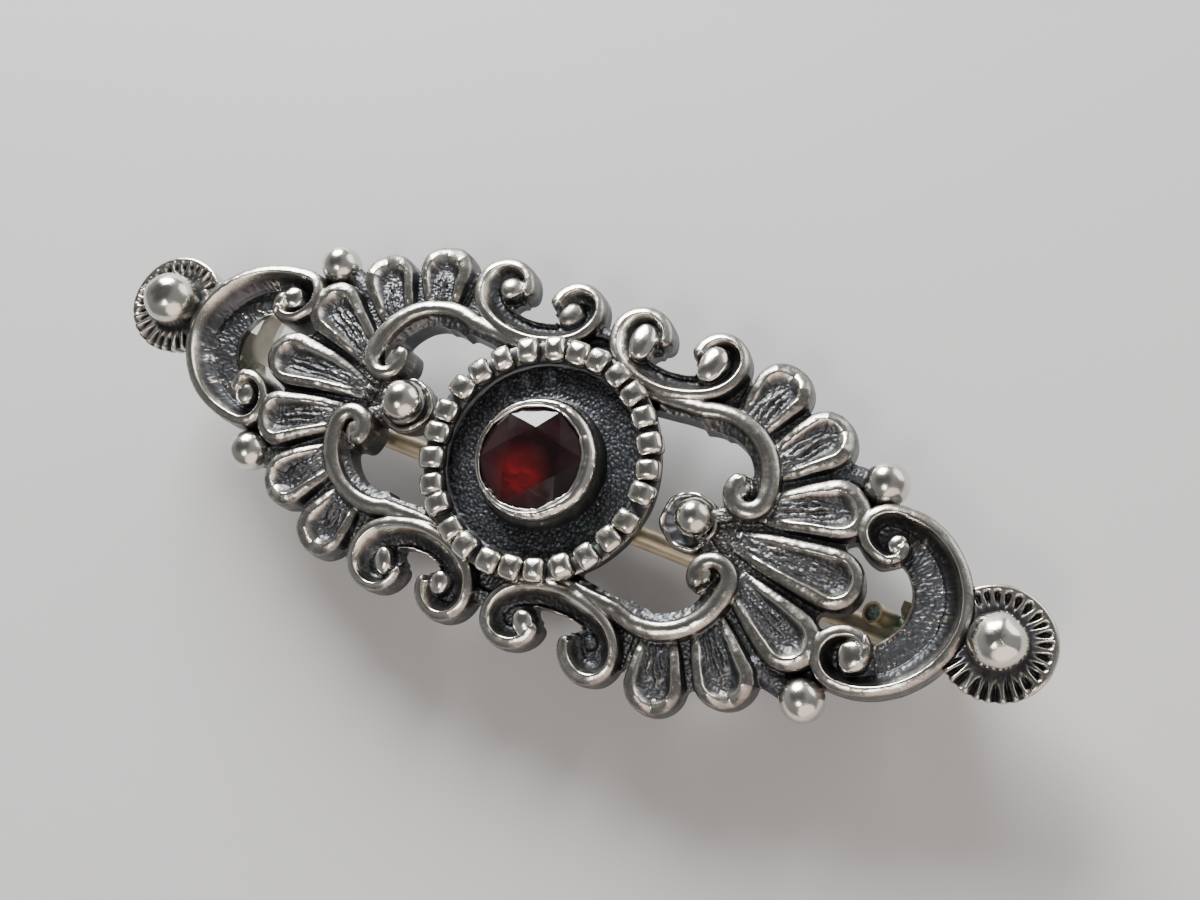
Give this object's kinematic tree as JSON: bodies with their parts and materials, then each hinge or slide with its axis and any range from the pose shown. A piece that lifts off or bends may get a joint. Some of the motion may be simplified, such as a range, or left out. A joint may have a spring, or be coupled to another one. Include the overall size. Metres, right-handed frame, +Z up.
{
  "type": "openwork brooch",
  "caption": "Oval openwork silver brooch with scrolls, ribbed fans, fluted rosettes at its ends and a dark red faceted stone in a beaded ring, on a hinged wire pin with a hook catch.",
  "frame": {"origin": "centre of the bounding box's base, on the surface that the brooch lies on, under the middle of the stone", "axes": "+X along the brooch towards the hinge, +Z up out of the face, +Y across it"},
  "size_m": [0.049, 0.018, 0.0078],
  "materials": {
    "oxidised_silver": "silver with worn, polished ridges and a grainy ground that is oxidised black",
    "plain_silver": "plain silver sheet, dulled and slightly yellow",
    "pin_brass": "nickel brass wire, tan and slightly tarnished, with some verdigris at the hinge",
    "garnet": "faceted, very dark red, with a red glow where light passes through"
  },
  "bodies": {
    "front": {"frame": "oxidised_silver", "garnet": "garnet", "hinge_bracket": "plain_silver", "hinge_rivet": "plain_silver", "catch": "plain_silver"},
    "pin": {"pin_stem": "pin_brass"}
  },
  "joints": [
    {"name": "pin_hinge", "type": "hinge", "parent": "front", "child": "pin", "pos_m": [0.019, -0.00066, 0.0015], "axis": [0, -1, 0], "range_deg": [0, 95]}
  ]
}
